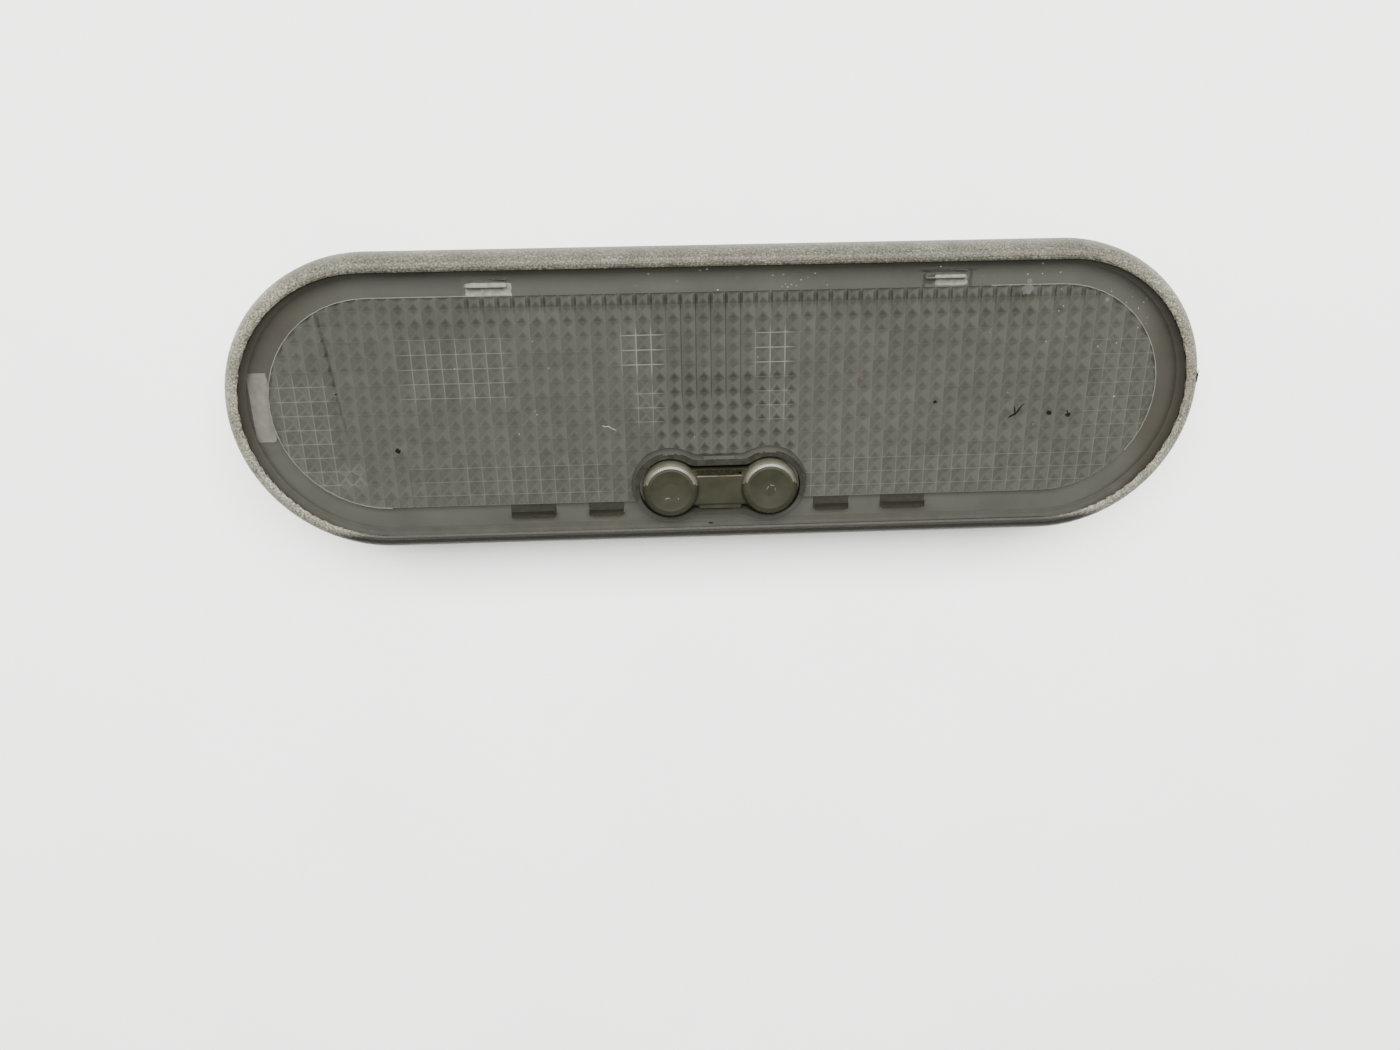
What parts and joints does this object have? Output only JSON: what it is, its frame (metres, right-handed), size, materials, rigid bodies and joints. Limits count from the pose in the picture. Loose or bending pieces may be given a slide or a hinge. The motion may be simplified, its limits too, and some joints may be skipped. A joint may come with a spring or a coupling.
{
  "type": "car dome light",
  "caption": "Flat stadium-shaped interior lamp with a prismatic lens, a two-pad rocker switch, a festoon bulb in spring clips and a rear connector.",
  "frame": {"origin": "centre of the lamp in the plane where its flange seats against the headliner", "axes": "+X along the lamp, retaining spring at -X; +Y across it, rocker switch at -Y; +Z out of the lens"},
  "size_m": [0.1824, 0.056, 0.0222],
  "materials": {
    "lens": "tinted prismatic plastic, clear face, grained rim",
    "housing": "satin moulded plastic",
    "metal": "bright stamped sheet",
    "rocker": "grained plastic",
    "brass": "stamped sheet",
    "spring_steel": "bent strip",
    "clip_steel": "bent strip",
    "rivet_brass": "turned",
    "glass": "clear bulb glass",
    "cap_metal": "pressed caps",
    "wire": "fine wire"
  },
  "bodies": {
    "lamp": {"lens": "lens", "housing": "housing", "reflector": "metal", "supply_strip": "brass", "ground_strip": "brass", "door_strip": "brass", "common_strip": "brass", "bulb_clip_left": "clip_steel", "bulb_clip_right": "clip_steel", "clip_rivet_left": "rivet_brass", "clip_rivet_right": "rivet_brass", "contact_rivet_left": "rivet_brass", "contact_rivet_right": "rivet_brass", "strip_rivets": "rivet_brass", "bulb_glass": "glass", "bulb_cap_left": "cap_metal", "bulb_cap_right": "cap_metal", "bulb_filament": "wire", "bulb_leads": "wire", "retaining_spring": "spring_steel", "spring_rivet": "rivet_brass"},
    "rocker": {"rocker": "rocker", "contact_wiper": "brass"}
  },
  "joints": [
    {"name": "rocker_pivot", "type": "hinge", "parent": "lamp", "child": "rocker", "pos_m": [0, -0.0168, 0.00055], "axis": [0, 1, 0], "range_deg": [-6, 6]}
  ]
}
